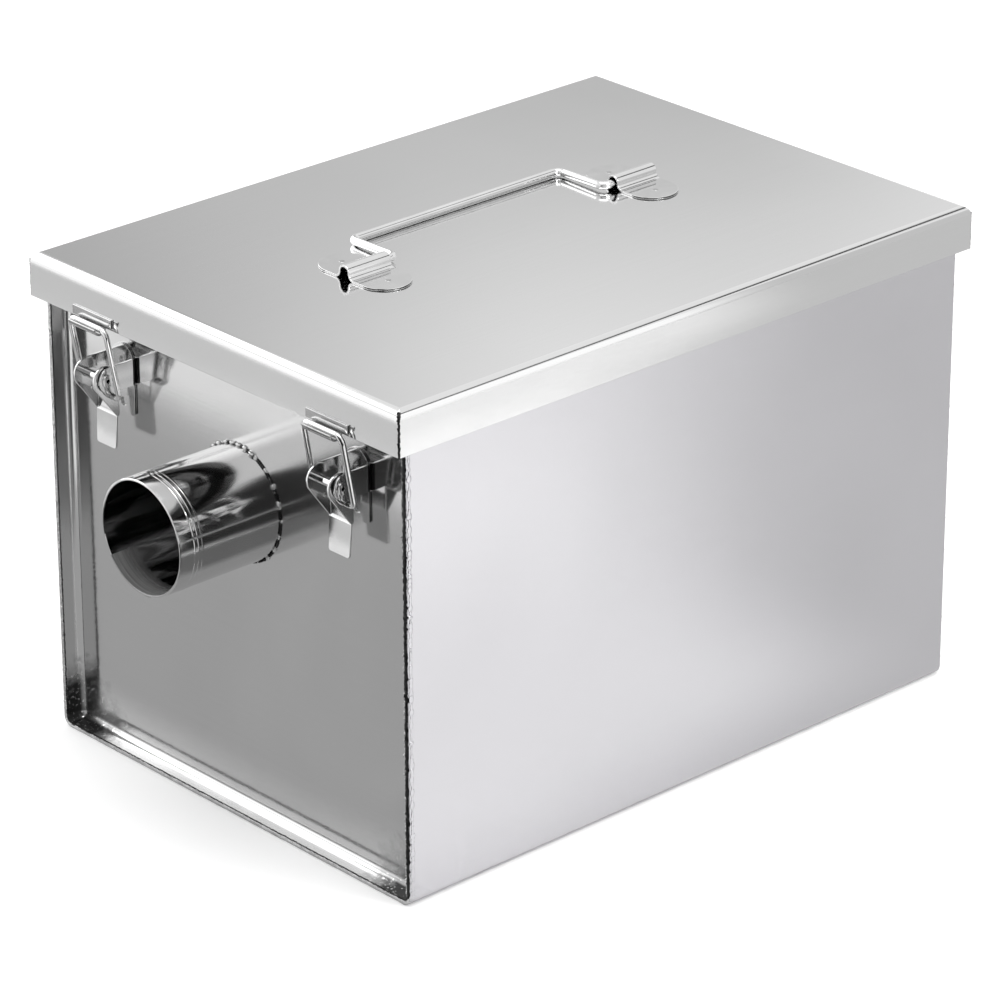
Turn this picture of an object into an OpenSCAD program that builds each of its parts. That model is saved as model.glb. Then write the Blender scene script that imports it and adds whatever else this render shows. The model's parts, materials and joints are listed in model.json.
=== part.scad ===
// Kitchen grease trap: a folded sheet tank with recessed welded end panels, an
// inlet and an outlet pipe, a tray lid with a fold-down handle, four toggle
// latches, and inside a strainer basket, a baffle and an outlet downpipe.
// Millimetres. Z is up, Y runs from the inlet end (-Y) to the outlet end (+Y).
// The origin is the middle of the tank's underside.

/* [Tank] */
// Width of the tank over its long sides
body_w = 250; // [210:1:320]
// Length of the tank over its end edges
body_l = 348; // [320:1:480]
// Height of the tank's rim
body_h = 240; // [220:1:320]
// Thickness of the sheet
sheet_t = 1; // [0.8:0.1:1.6]
// Inner radius of the tank's bottom bends and of the end panels' bends
bend_r = 4; // [3:0.5:6]
// Width of the rim folded inwards along the long sides
rim_w = 9; // [6:0.5:14]
// Depth of the end panels behind the tank's end edges
panel_recess = 10; // [8:0.5:14]
// Gap that a weld closes between two sheets
weld_gap = 0.1; // [0.05:0.05:0.3]

/* [Pipes] */
// Outer diameter of both pipes
pipe_d = 56; // [40:1:70]
// Wall of the pipes
pipe_wall = 1.2; // [1:0.1:2.5]
// Reach of the pipes beyond the tank's end edges
pipe_reach = 48; // [35:1:80]
// Length of the pipes inside the tank
pipe_inside = 16; // [10:1:24]
// Height of the inlet's axis
inlet_z = 155.5; // [140:0.5:170]
// Drop from the inlet's axis to the outlet's axis
outlet_drop = 10; // [0:1:20]
// Distance of the swaged bead from the mouth
bead_from_mouth = 10.5; // [6:0.5:20]
// Width of the swaged bead
bead_w = 4.4; // [3:0.1:8]
// Height of the swaged bead above the pipe
bead_h = 0.3; // [0.2:0.05:1]
// Leg of the weld fillet around the pipes
pipe_weld = 1; // [0.6:0.1:3]

/* [Lid] */
// Gap between the lid's skirt and the tank's long sides
lid_side_gap = 2.3; // [1:0.1:4]
// Gap between the lid's skirt and the tank's end edges
lid_end_gap = 5.9; // [4:0.1:8]
// Height of the lid's skirt, over all
lid_skirt = 21.7; // [15:0.1:30]
// Inner radius of the lid's bends
lid_bend_r = 3.5; // [1:0.5:4]
// Thickness of the gasket under the lid
gasket_t = 4; // [2:0.5:6]
// Width of the gasket
gasket_w = 7; // [4:0.5:7]

/* [Lid handle] */
// Diameter of the handle's rod
rod_d = 4; // [3:0.5:6]
// Distance between the handle's two legs
handle_span = 132; // [100:1:180]
// Distance from the hinge to the grip bar
handle_depth = 31.2; // [26:0.2:50]
// Distance of the hinge from the lid's middle
hinge_off = 2.8; // [0:0.1:10]
// Radius of the rod's bends, at its axis
rod_bend_r = 4; // [3.5:0.5:6]
// Length of the rod's ends in the clips
stub_l = 14; // [10:1:18]
// Gap between the handle's bends and the clips
clip_gap = 2; // [0.5:0.1:4]
// Length of each clip along the hinge
clip_l = 25.5; // [20:0.5:34]
// Length of each ear beside the clip's arch
ear_l = 22.4; // [18:0.2:28]
// Thickness of the clips
clip_t = 1; // [0.8:0.1:1.5]
// Clearance at the rod's sides in the clips
rod_play = 0.6; // [0.35:0.05:0.8]
// Height of the arch's middle above the rod's axis
arch_lift = 0.6; // [0:0.1:1]
// Height at which the grip bar rests above the lid
rest_gap = 0.3; // [0.2:0.05:0.6]

/* [Latches] */
// Distance of each latch from the tank's side
latch_inset = 43.2; // [36:0.1:60]
// Drop from the skirt's lower edge to the lever's pivot
pivot_drop = 26; // [24:0.5:34]
// Distance of the lever's pivot from the end panel
pivot_out = 17; // [16:0.5:20]
// Distance of the bail's pivot behind the lever's pivot
toggle_in = 3.5; // [2.5:0.1:4.5]
// Distance of the bail's pivot below the lever's pivot
toggle_down = 8.9; // [8.7:0.1:11]
// Diameter of the pivot pins
pin_d = 4; // [3:0.1:4.6]
// Diameter of the bail's wire
wire_d = 2.8; // [1.8:0.1:3]
// Distance between the axes of the bail's two legs
bail_w = 26; // [25:0.5:34]
// Radius of the bail's top corners, at the wire's axis
bail_corner_r = 4; // [3:0.5:5]
// Height of the base's ears
ear_h = 13; // [12:0.5:13]
// Width of the base over its ears
base_w = 18; // [17:0.5:20]
// Outer radius of the folds of the base's ears
fold_r = 2; // [1.5:0.1:2.5]
// Height of the base plate
base_h = 34.5; // [30:0.5:40]
// Width of the base plate's top and foot
tongue_w = 16.4; // [10:0.2:17]
// Thickness of the latch sheets
latch_t = 1; // [0.8:0.1:1.2]
// Length of the lever's tail
tail_l = 18; // [10:0.5:22]
// Outward lean of the lever's tail beyond its web, in degrees
tail_lean = 6; // [0:1:10]
// Step at the top of the lever's tail
tail_step = 0.8; // [0:0.1:1.2]
// Gap between sheets that move on each other
latch_gap = 0.5; // [0.35:0.05:0.7]
// Running clearance of a pin in its hole, on the radius
pin_play = 0.05; // [0.02:0.01:0.1]

/* [Inside] */
// Distance of the baffle from the inlet end panel
baffle_y = 170; // [140:1:190]
// Opening below the baffle
baffle_gap = 40; // [25:1:70]
// Height of the baffle's upper edge
baffle_top = 190; // [150:1:205]
// Depth of the basket
basket_depth = 80; // [50:1:95]
// Gap around the basket
basket_gap = 8; // [5:0.5:14]
// Pitch of the basket's holes
hole_pitch = 20; // [16:1:30]
// Diameter of the basket's holes
hole_d = 8; // [4:0.5:10]
// Reach of the basket's handle above the basket's rim
basket_lift = 55; // [30:1:80]
// Width of both legs of the basket's rails
rail_w = 16; // [12:0.5:22]
// Drop from the inlet pipe's underside to the rails
rail_drop = 10; // [5:1:20]
// Radius of the downpipe's bend, at its axis
elbow_r = 45; // [38:1:60]
// Distance of the downpipe's mouth from the tank's floor
downpipe_gap = 40; // [20:1:60]

/* [Hidden] */
$fn = 64;
hull_fn = 24;
cut = 1;
panel_y = body_l / 2 - panel_recess;
pipe_r = pipe_d / 2;
mouth_y = body_l / 2 + pipe_reach;
outlet_z = inlet_z - outlet_drop;
bead_r = (bead_w * bead_w / 4 + bead_h * bead_h) / (2 * bead_h);

lid_w = body_w + 2 * (lid_side_gap + sheet_t);
lid_l = body_l + 2 * (lid_end_gap + sheet_t);
lid_z = body_h + gasket_t + sheet_t;
skirt_z = lid_z - lid_skirt;
gasket_inset = max(weld_gap, lid_bend_r - lid_side_gap + 2 * weld_gap);

rod_r = rod_d / 2;
arch_r = rod_r + rod_play;
hinge_z = lid_z + rod_r + 1;
arch_mid = hinge_z - lid_z + arch_lift;
foot_r = arch_mid - clip_t;
arch_out = arch_r + clip_t;
clip_half = arch_out + ear_l;
clip_y = handle_span / 2 + rod_bend_r + clip_gap;
rest_tilt = asin((hinge_z - lid_z - rod_r - rest_gap) / handle_depth);

latch_x = body_w / 2 - latch_inset;
pivot_z = skirt_z - pivot_drop;
pin_r = pin_d / 2;
wire_r = wire_d / 2;
ear_r = ear_h / 2;
ear_out = pivot_out - 2;
pin_head_r = pin_r + 1;
pin_head_t = 0.6;
lever_w = base_w - 2 * latch_t - 2 * latch_gap;
lever_tip_r = ear_r + 0.4;
lever_toe_r = 1.2;
toe_in = 6.6;
toe_down = 18.4;
toe_d = norm([toe_in, toe_down]);
web_up = toe_down - toggle_down - wire_d;
web_sink = 0.15;
tail_tip_w = lever_w - 1;
tail_corner_r = 1.5;
arch_z = 3.5;
rivet_hole_r = 1.8;
foot_hole_r = 2.2;
foot_hole_z = -17.4;
skirt_out = panel_recess + lid_end_gap + sheet_t;
trough_r = wire_r + 1.25;
bar_out = skirt_out + latch_t + 1.05 + wire_r;
bar_up = pivot_drop + 0.6;
trough_z = bar_up + trough_r - wire_r - 0.6;
catch_top = bar_up + 5;
catch_half = bail_w / 2 + latch_t;
lip_half = bail_w / 2 - wire_r - 2;
bail_h = norm([bar_out - pivot_out + toggle_in, bar_up + toggle_down]);
bail_lean = atan2(bar_out - pivot_out + toggle_in, bar_up + toggle_down);

rail_z = inlet_z - pipe_r - rail_drop;
inner_w = body_w - 2 * sheet_t;
inlet_face_y = -panel_y + sheet_t;
baffle_face_y = inlet_face_y + baffle_y;
rail_l = baffle_y - 2 * weld_gap;
basket_w = inner_w - 2 * rail_w - 2 * basket_gap;
basket_rim = basket_gap + rail_w / 2;
basket_l = baffle_y - 2 * basket_gap;
basket_mid_y = inlet_face_y + baffle_y / 2;
basket_floor_z = rail_z - basket_depth;
lift_rod_d = 4;
sleeve_r = pipe_r + 0.2;
sleeve_wall = 1.5;
sleeve_y = panel_y - sheet_t - 2;

// Outline of a sheet trough's outside, open or flat at the top, round at the foot
module round_foot(w, h, r) {
    translate([-w / 2, r]) square([w, h - r]);
    translate([-w / 2 + r, 0]) square([w - 2 * r, r]);
    for (s = [-1, 1]) translate([s * (w / 2 - r), r]) circle(r);
}

// Two circles joined by their common tangents, the second one at distance d on +x
module drop_outline(r1, r2, d) {
    a = acos((r1 - r2) / d);
    circle(r1);
    translate([d, 0]) circle(r2);
    polygon([
        [r1 * cos(a), r1 * sin(a)], [d + r2 * cos(a), r2 * sin(a)],
        [d + r2 * cos(a), -r2 * sin(a)], [r1 * cos(a), -r1 * sin(a)]
    ]);
}

// A tube or rod along +Y, from y = 0
module rod_y(r, l) {
    rotate([-90, 0, 0]) cylinder(r = r, h = l);
}

// Outline in x and z, given thickness along -Y from y = 0
module plate_out(t) {
    rotate([90, 0, 0]) linear_extrude(t) children();
}

// Outline in x and z, given a length along Y, centred
module profile_y(l) {
    rotate([90, 0, 0]) linear_extrude(l, center = true) children();
}

// Outline in y and z, given a length along X, centred
module profile_x(l) {
    rotate([90, 0, 90]) linear_extrude(l, center = true) children();
}

// Outline of a latch piece in its side view, outwards and up, given a width
module latch_side(w) {
    rotate([90, 0, -90]) linear_extrude(w, center = true) children();
}

// Quarter of a bent rod: starts at the origin along +X and turns to +Y
module rod_bend(r, bend) {
    translate([0, bend, 0]) rotate([0, 0, -90])
        rotate_extrude(angle = 90) translate([bend, 0]) circle(r);
}

// Sends a piece drawn for the inlet end to the outlet end
module at_end(outlet) {
    rotate([0, 0, outlet ? 180 : 0]) children();
}

// Puts a latch piece, drawn about the lever's pivot height at the end panel, in its place
module at_latch(outlet, side) {
    at_end(outlet) translate([side * latch_x, -panel_y, pivot_z]) children();
}

module tank_body() {
    color("#d9d9dd") {
        profile_y(body_l) difference() {
            round_foot(body_w, body_h, bend_r + sheet_t);
            translate([0, sheet_t]) round_foot(inner_w, body_h, bend_r);
        }
        for (s = [-1, 1])
            translate([s * (body_w - rim_w) / 2, 0, body_h - sheet_t / 2])
                cube([rim_w, 2 * (panel_y - sheet_t - weld_gap), sheet_t], center = true);
    }
}

// A ball whose poles and equator lie exactly at its radius
module ball(r) {
    rotate_extrude($fn = hull_fn) intersection() {
        circle(r, $fn = hull_fn);
        translate([0, -r]) square([r, 2 * r]);
    }
}

// A box of the panel's size with rounded corners, and a rounded end at y = depth
module panel_form(w, z0, z1, y0, depth, r) {
    hull() for (x = [-w / 2 + r, w / 2 - r], z = [z0 + r, z1 - r]) {
        translate([x, y0, z]) rotate([-90, 0, 0]) cylinder(r = r, h = depth - r - y0, $fn = hull_fn);
        translate([x, depth - r, z]) rotate([-90, 0, 0]) ball(r);
    }
}

module end_panel(axis_z) {
    out_w = inner_w - 2 * weld_gap;
    foot_z = sheet_t + weld_gap;
    color("#b9b9bc") translate([0, -body_l / 2, 0]) difference() {
        panel_form(out_w, foot_z, body_h, 0, panel_recess + sheet_t, bend_r + sheet_t);
        panel_form(out_w - 2 * sheet_t, foot_z + sheet_t, body_h - sheet_t, -cut, panel_recess, bend_r);
        translate([0, panel_recess - cut, axis_z]) rod_y(pipe_r + weld_gap, sheet_t + 2 * cut);
    }
}

module pipe(axis_z) {
    length = mouth_y - panel_y + sheet_t + pipe_inside;
    color("#8f9093") translate([0, -mouth_y, axis_z]) difference() {
        union() {
            rod_y(pipe_r, length);
            translate([0, bead_from_mouth, 0]) rotate([-90, 0, 0]) rotate_extrude() intersection() {
                translate([pipe_r + bead_h - bead_r, 0]) circle(bead_r);
                translate([pipe_r - pipe_wall / 2, -bead_w]) square([pipe_wall, 2 * bead_w]);
            }
            translate([0, mouth_y - panel_y - pipe_weld, 0]) rotate([-90, 0, 0])
                cylinder(r1 = pipe_r, r2 = pipe_r + pipe_weld, h = pipe_weld);
        }
        translate([0, -cut, 0]) rod_y(pipe_r - pipe_wall, length + 2 * cut);
    }
}

// A block with its two long and two short upper edges bent round
module tray_form(w, l, h, r) {
    intersection() {
        profile_y(l) mirror([0, 1]) round_foot(w, h, r);
        profile_x(w) mirror([0, 1]) round_foot(l, h, r);
    }
}

module lid() {
    color("#c4c4c6") translate([0, 0, lid_z]) difference() {
        tray_form(lid_w, lid_l, lid_skirt, lid_bend_r + sheet_t);
        translate([0, 0, -sheet_t])
            tray_form(lid_w - 2 * sheet_t, lid_l - 2 * sheet_t, lid_skirt, lid_bend_r);
    }
}

module lid_gasket() {
    w = body_w - 2 * gasket_inset;
    l = body_l - 2 * gasket_inset;
    color("#33363a") translate([0, 0, body_h]) linear_extrude(gasket_t) difference() {
        square([w, l], center = true);
        square([w - 2 * gasket_w, l - 2 * gasket_w], center = true);
    }
}

// Half of the handle, from the middle of the grip bar to the hinge end
module handle_half() {
    leg = handle_depth - 2 * rod_bend_r;
    translate([-handle_depth, 0, 0]) {
        rod_y(rod_r, handle_span / 2 - rod_bend_r);
        translate([0, handle_span / 2 - rod_bend_r, 0])
            mirror([1, -1, 0]) rod_bend(rod_r, rod_bend_r);
        translate([rod_bend_r, handle_span / 2, 0]) rotate([0, 90, 0]) cylinder(r = rod_r, h = leg);
        translate([rod_bend_r + leg, handle_span / 2, 0]) rod_bend(rod_r, rod_bend_r);
        translate([handle_depth, handle_span / 2 + rod_bend_r, 0]) rod_y(rod_r, clip_gap + stub_l);
    }
}

module lid_handle() {
    color("#9a9b9f") translate([-hinge_off, 0, hinge_z]) rotate([0, -rest_tilt, 0])
        for (s = [0, 1]) mirror([0, s, 0]) handle_half();
}

// Section of a clip: an arch over the rod with flared feet that run out into two ears
module clip_section() {
    foot_x = arch_out + foot_r;
    difference() {
        union() {
            translate([0, arch_mid]) circle(arch_out);
            translate([-foot_x, 0]) square([2 * foot_x, arch_mid]);
            translate([-clip_half, 0]) square([2 * clip_half, clip_t]);
        }
        translate([0, arch_mid]) circle(arch_r);
        for (s = [-1, 1]) {
            translate([s * foot_x, arch_mid]) circle(foot_r);
            difference() {
                translate([s * foot_x / 2, (arch_mid - cut) / 2])
                    square([foot_x, arch_mid + cut], center = true);
                translate([s * foot_x, arch_mid]) circle(foot_r + clip_t);
            }
        }
    }
}

module handle_clip() {
    color("#a3a4a8") translate([-hinge_off, clip_y + clip_l / 2, lid_z]) intersection() {
        profile_y(clip_l) clip_section();
        linear_extrude(2 * hinge_z) {
            square([2 * (clip_half - clip_l / 2), clip_l], center = true);
            for (s = [-1, 1]) translate([s * (clip_half - clip_l / 2), 0]) circle(d = clip_l);
        }
    }
}

// Catch on the lid's skirt: a welded strip whose foot curls up into a trough
module latch_catch() {
    color("#a9aaad") {
        translate([0, -skirt_out, 0]) plate_out(latch_t)
            translate([-catch_half, trough_z]) square([2 * catch_half, catch_top - trough_z]);
        latch_side(2 * lip_half) translate([skirt_out + latch_t + trough_r, trough_z]) difference() {
            circle(trough_r + latch_t);
            circle(trough_r);
            translate([-2 * trough_r, 0]) square([4 * trough_r, 2 * trough_r]);
        }
    }
}

// Base of a latch: a plate with two ears folded outwards, cut free beside the folds
module latch_base() {
    foot_z = arch_z + tongue_w / 2 - base_h;
    depth = ear_out + ear_r + cut;
    relief = 0.3;
    color("#9c9da1") difference() {
        union() {
            plate_out(latch_t) difference() {
                union() {
                    translate([0, foot_z]) round_foot(tongue_w, arch_z - foot_z, lever_toe_r);
                    translate([0, arch_z]) circle(d = tongue_w);
                }
                for (s = [-1, 1]) translate([s * (base_w - fold_r), 0])
                    square([base_w, ear_h + 2 * relief], center = true);
            }
            intersection() {
                linear_extrude(ear_h + cut, center = true) mirror([0, 1]) difference() {
                    round_foot(base_w, depth, fold_r);
                    translate([0, latch_t]) round_foot(base_w - 2 * latch_t, depth, fold_r - latch_t);
                }
                latch_side(base_w + cut) {
                    translate([-cut, -ear_r]) square([ear_out + cut, ear_h]);
                    translate([ear_out, 0]) circle(ear_r);
                }
            }
        }
        latch_side(base_w + cut) translate([pivot_out, 0]) circle(pin_r + pin_play);
        translate([0, cut, 0]) plate_out(latch_t + 2 * cut) {
            translate([0, arch_z]) circle(rivet_hole_r);
            translate([0, foot_hole_z]) circle(foot_hole_r);
        }
    }
}

// Tubular rivet that carries the lever between the base's ears
module latch_pin() {
    length = base_w + 2 * pin_head_t;
    color("#b5b6ba") latch_side(length) translate([pivot_out, 0]) difference() {
        circle(pin_r);
        circle(pin_r / 2);
    }
    color("#b5b6ba") for (s = [-1, 1]) translate([s * (length - pin_head_t) / 2, 0, 0])
        latch_side(pin_head_t) translate([pivot_out, 0]) difference() {
            circle(pin_head_r);
            circle(pin_r / 2);
        }
}

// Side view of the lever: its long axis on +x, from the pivot to the fold of its tail
module lever_axis() {
    translate([pivot_out, 0]) rotate(atan2(-toe_down, -toe_in)) children();
}

// Side outline of the lever's cheeks: round about the pivot, narrowing to the tail
module lever_outline() {
    lever_axis() drop_outline(lever_tip_r, lever_toe_r, toe_d);
}

// Side view of the sheet that joins the cheeks near their inner edge and steps out into the tail
module lever_web() {
    a = acos((lever_tip_r - lever_toe_r) / toe_d);
    foot = [2 * tail_step, tail_step];
    path = [[-web_up, 0], [0, 0], foot, foot + (tail_l + cut) * [cos(tail_lean), sin(tail_lean)]];
    lever_axis() translate([toe_d + lever_toe_r * cos(a), -lever_toe_r * sin(a)]) rotate(90 - a)
        translate([0, web_sink])
            polygon(concat(path, [for (i = [len(path) - 1 : -1 : 0]) path[i] + [0, latch_t]]));
}

// Front outline of the lever's web and tail
module tail_front() {
    hull() {
        translate([-lever_w / 2, -toe_down]) square([lever_w, toe_down]);
        for (s = [-1, 1])
            translate([s * (tail_tip_w / 2 - tail_corner_r), -toe_down - tail_l + tail_corner_r])
                circle(tail_corner_r, $fn = hull_fn);
    }
}

module latch_lever() {
    color("#b0b1b5") difference() {
        union() {
            for (s = [-1, 1]) translate([s * (lever_w - latch_t) / 2, 0, 0])
                latch_side(latch_t) lever_outline();
            intersection() {
                latch_side(lever_w) lever_web();
                plate_out(2 * pivot_out) tail_front();
            }
        }
        latch_side(lever_w + cut) {
            translate([pivot_out, 0]) circle(pin_r + pin_play);
            translate([pivot_out - toggle_in, -toggle_down]) circle(wire_r + pin_play);
        }
    }
}

// Half of the bail, drawn upright: from the end in the lever, up the leg, to the middle of the bar
module bail_half() {
    end_x = lever_w / 2 - latch_t - latch_gap;
    turn = wire_d;
    leg_x = bail_w / 2;
    translate([end_x, 0, 0]) rotate([0, 90, 0]) cylinder(r = wire_r, h = leg_x - turn - end_x);
    translate([leg_x - turn, 0, 0]) rotate([90, 0, 0]) rod_bend(wire_r, turn);
    translate([leg_x, 0, turn]) cylinder(r = wire_r, h = bail_h - turn - bail_corner_r);
    translate([leg_x - bail_corner_r, 0, bail_h]) mirror([0, 0, 1]) rotate([90, 0, 0])
        rod_bend(wire_r, bail_corner_r);
    translate([0, 0, bail_h]) rotate([0, 90, 0]) cylinder(r = wire_r, h = leg_x - bail_corner_r);
}

module latch_bail() {
    color("#b9babd") translate([0, -pivot_out + toggle_in, -toggle_down]) rotate([bail_lean, 0, 0])
        for (s = [0, 1]) mirror([s, 0, 0]) bail_half();
}

// Angle strip on the tank's long side that the basket's rim hangs on
module basket_rail(side) {
    color("#c9c9cc") translate([0, inlet_face_y + baffle_y / 2, 0])
        mirror([side < 0 ? 1 : 0, 0, 0]) profile_y(rail_l)
            translate([inner_w / 2 - weld_gap - rail_w, rail_z - rail_w]) difference() {
                square(rail_w);
                square(rail_w - sheet_t);
            }
}

// Rows of cylinders through a wall, centred, at the pitch of the holes
module hole_grid(a, b, through) {
    na = floor(a / hole_pitch) - 1;
    nb = floor(b / hole_pitch) - 1;
    for (i = [0 : na], j = [0 : nb])
        translate([(i - na / 2) * hole_pitch, (j - nb / 2) * hole_pitch, 0])
            cylinder(d = hole_d, h = through, center = true, $fn = hull_fn);
}

// Outline of the basket seen from its end, grown inwards by a sheet
module basket_outline(inner) {
    translate([0, inner]) round_foot(basket_l - 2 * inner, basket_depth, bend_r + sheet_t - inner);
}

// Folded trough of the basket: its floor, its front and its rear wall
module basket_trough() {
    l = basket_w - 2 * sheet_t - 2 * weld_gap;
    color("#bcbdc0") translate([0, basket_mid_y, basket_floor_z]) difference() {
        profile_x(l) difference() {
            basket_outline(0);
            basket_outline(sheet_t);
        }
        hole_grid(basket_w, basket_l, hole_d);
        translate([0, 0, basket_depth / 2]) rotate([90, 0, 0])
            hole_grid(basket_w, basket_depth, 2 * basket_l);
    }
}

// End plate of the basket, with a rim folded out that hangs on the rail
module basket_end(side) {
    color("#bcbdc0") mirror([side < 0 ? 1 : 0, 0, 0])
        translate([basket_w / 2 - sheet_t, basket_mid_y, basket_floor_z]) difference() {
            union() {
                translate([sheet_t / 2, 0, 0]) profile_x(sheet_t) basket_outline(0);
                translate([0, -basket_l / 2, basket_depth])
                    cube([basket_rim + sheet_t, basket_l, sheet_t]);
            }
            translate([0, 0, basket_depth / 2]) rotate([0, 90, 0]) hole_grid(basket_depth, basket_l, hole_d);
        }
}

// Wire loop across the basket, welded to the inside of its end walls
module basket_handle() {
    r = lift_rod_d / 2;
    bend = 2 * lift_rod_d;
    leg_x = basket_w / 2 - sheet_t - weld_gap - r;
    foot_z = basket_floor_z + basket_depth / 2;
    rise = basket_depth / 2 + basket_lift;
    color("#a9aaad") translate([0, basket_mid_y, foot_z]) for (s = [0, 1]) mirror([s, 0, 0]) {
        translate([leg_x, 0, 0]) cylinder(r = r, h = rise - bend);
        translate([leg_x - bend, 0, rise]) mirror([0, 0, 1]) rotate([90, 0, 0]) rod_bend(r, bend);
        translate([0, 0, rise]) rotate([0, 90, 0]) cylinder(r = r, h = leg_x - bend);
    }
}

// Partition with an opening below it, folded along both sides
module baffle_plate() {
    w = inner_w - 2 * weld_gap;
    color("#c2c2c5") translate([0, baffle_face_y, baffle_gap]) linear_extrude(baffle_top - baffle_gap)
        difference() {
            translate([-w / 2, 0]) square([w, rail_w]);
            translate([-w / 2 + sheet_t, sheet_t]) square([w - 2 * sheet_t, rail_w]);
        }
}

// Outline of the downpipe's section: a ring at the bend's radius, or at the axis
module pipe_ring() {
    difference() {
        circle(sleeve_r + sleeve_wall);
        circle(sleeve_r);
    }
}

// Elbow that slips over the outlet pipe's inner end and turns down
module outlet_elbow() {
    sleeve_l = pipe_inside;
    color("#8f9093") translate([0, 0, outlet_z]) {
        translate([0, sleeve_y, 0]) rotate([90, 0, 0]) linear_extrude(sleeve_l) pipe_ring();
        translate([0, sleeve_y - sleeve_l, -elbow_r]) rotate([0, -90, 0]) rotate([0, 0, -90])
            rotate_extrude(angle = 90) translate([elbow_r, 0]) pipe_ring();
    }
}

// Straight tube, welded below the elbow, that draws from low in the tank
module outlet_downpipe() {
    color("#8f9093") translate([0, sleeve_y - pipe_inside - elbow_r, downpipe_gap])
        linear_extrude(outlet_z - elbow_r - downpipe_gap - weld_gap) pipe_ring();
}

tank_body();
end_panel(inlet_z);  // inlet_end_panel
at_end(true) end_panel(outlet_z);  // outlet_end_panel
pipe(inlet_z);  // inlet_pipe
at_end(true) pipe(outlet_z);  // outlet_pipe
lid();
lid_gasket();
lid_handle();
mirror([0, 1, 0]) handle_clip();  // handle_clip_front
handle_clip();  // handle_clip_rear
at_latch(false, -1) latch_catch();  // catch_inlet_left
at_latch(false, 1) latch_catch();  // catch_inlet_right
at_latch(true, 1) latch_catch();  // catch_outlet_left
at_latch(true, -1) latch_catch();  // catch_outlet_right
at_latch(false, -1) latch_base();  // base_inlet_left
at_latch(false, 1) latch_base();  // base_inlet_right
at_latch(true, 1) latch_base();  // base_outlet_left
at_latch(true, -1) latch_base();  // base_outlet_right
at_latch(false, -1) latch_pin();  // pin_inlet_left
at_latch(false, 1) latch_pin();  // pin_inlet_right
at_latch(true, 1) latch_pin();  // pin_outlet_left
at_latch(true, -1) latch_pin();  // pin_outlet_right
at_latch(false, -1) latch_lever();  // lever_inlet_left
at_latch(false, 1) latch_lever();  // lever_inlet_right
at_latch(true, 1) latch_lever();  // lever_outlet_left
at_latch(true, -1) latch_lever();  // lever_outlet_right
at_latch(false, -1) latch_bail();  // bail_inlet_left
at_latch(false, 1) latch_bail();  // bail_inlet_right
at_latch(true, 1) latch_bail();  // bail_outlet_left
at_latch(true, -1) latch_bail();  // bail_outlet_right
basket_rail(-1);  // basket_rail_left
basket_rail(1);  // basket_rail_right
basket_trough();
basket_end(-1);  // basket_end_left
basket_end(1);  // basket_end_right
basket_handle();
baffle_plate();
outlet_elbow();
outlet_downpipe();
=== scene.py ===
"""Dress a sheet-steel grease trap for a studio picture.

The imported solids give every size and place. This script rounds their edges, adds the weld
beads, spot welds and seams, gives each piece its finish, and sets up a white studio.
"""
import json
import logging
import math
from dataclasses import dataclass, replace
from enum import Enum
from typing import Callable, Sequence

import bmesh
import bpy
from bpy.types import ID, Material, Mesh, MeshPolygon, Node, NodeSocket, NodeTree, Object, World
from mathutils import Matrix, Vector

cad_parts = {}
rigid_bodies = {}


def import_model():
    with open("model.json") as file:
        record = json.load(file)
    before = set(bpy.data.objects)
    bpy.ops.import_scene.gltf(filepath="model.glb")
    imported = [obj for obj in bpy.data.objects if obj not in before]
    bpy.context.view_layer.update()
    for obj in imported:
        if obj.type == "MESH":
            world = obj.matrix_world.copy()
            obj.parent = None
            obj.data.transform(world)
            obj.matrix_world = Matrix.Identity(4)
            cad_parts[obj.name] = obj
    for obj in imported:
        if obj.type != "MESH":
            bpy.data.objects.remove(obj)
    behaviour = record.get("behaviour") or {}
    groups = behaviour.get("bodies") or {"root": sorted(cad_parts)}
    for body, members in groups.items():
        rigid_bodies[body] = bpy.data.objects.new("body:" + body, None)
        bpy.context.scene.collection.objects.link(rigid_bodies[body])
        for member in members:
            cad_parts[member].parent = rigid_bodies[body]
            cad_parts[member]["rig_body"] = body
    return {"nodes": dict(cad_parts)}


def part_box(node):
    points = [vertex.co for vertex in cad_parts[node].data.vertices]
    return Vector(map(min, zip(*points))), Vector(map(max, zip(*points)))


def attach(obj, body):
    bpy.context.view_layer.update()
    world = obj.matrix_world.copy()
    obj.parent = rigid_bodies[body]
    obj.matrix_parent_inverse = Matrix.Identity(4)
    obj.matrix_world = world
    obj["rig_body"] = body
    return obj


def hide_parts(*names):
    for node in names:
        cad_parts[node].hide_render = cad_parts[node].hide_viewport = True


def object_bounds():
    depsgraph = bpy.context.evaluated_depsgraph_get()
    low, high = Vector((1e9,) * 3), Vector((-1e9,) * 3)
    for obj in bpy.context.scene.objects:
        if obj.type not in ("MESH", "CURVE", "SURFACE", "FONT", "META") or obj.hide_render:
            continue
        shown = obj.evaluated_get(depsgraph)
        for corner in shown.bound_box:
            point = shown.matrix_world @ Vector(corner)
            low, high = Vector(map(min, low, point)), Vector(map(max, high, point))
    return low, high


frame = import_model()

LOG = logging.getLogger("grease_trap")
MM = 0.001
CAD_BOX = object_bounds()
TRAP_BODY = "trap"
ENDS = (("inlet", -1.0), ("outlet", 1.0))
LATCH_PLACES = ("inlet_left", "inlet_right", "outlet_left", "outlet_right")
MERGE_DISTANCE = 0.002 * MM
FLAT_ANGLE = math.radians(0.6)
EDGE_SEGMENTS = 2
# Face attribute that carries painted shade on narrow sides, and scratches with painted light in a bore.
MARK = "marked"
SCORCH_CORNER = (CAD_BOX[1].x - 10.0 * MM, CAD_BOX[1].y - 50.0 * MM, 3.0 * MM)
SCORCH_TONE = 0.05
SCORCH_ROUGHNESS = 0.42
SOCKET_TYPES = {tuple: "NodeSocketVector", float: "NodeSocketFloat", int: "NodeSocketInt"}
Triple = tuple[float, float, float]
Colour = tuple[float, float, float, float]


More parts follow.
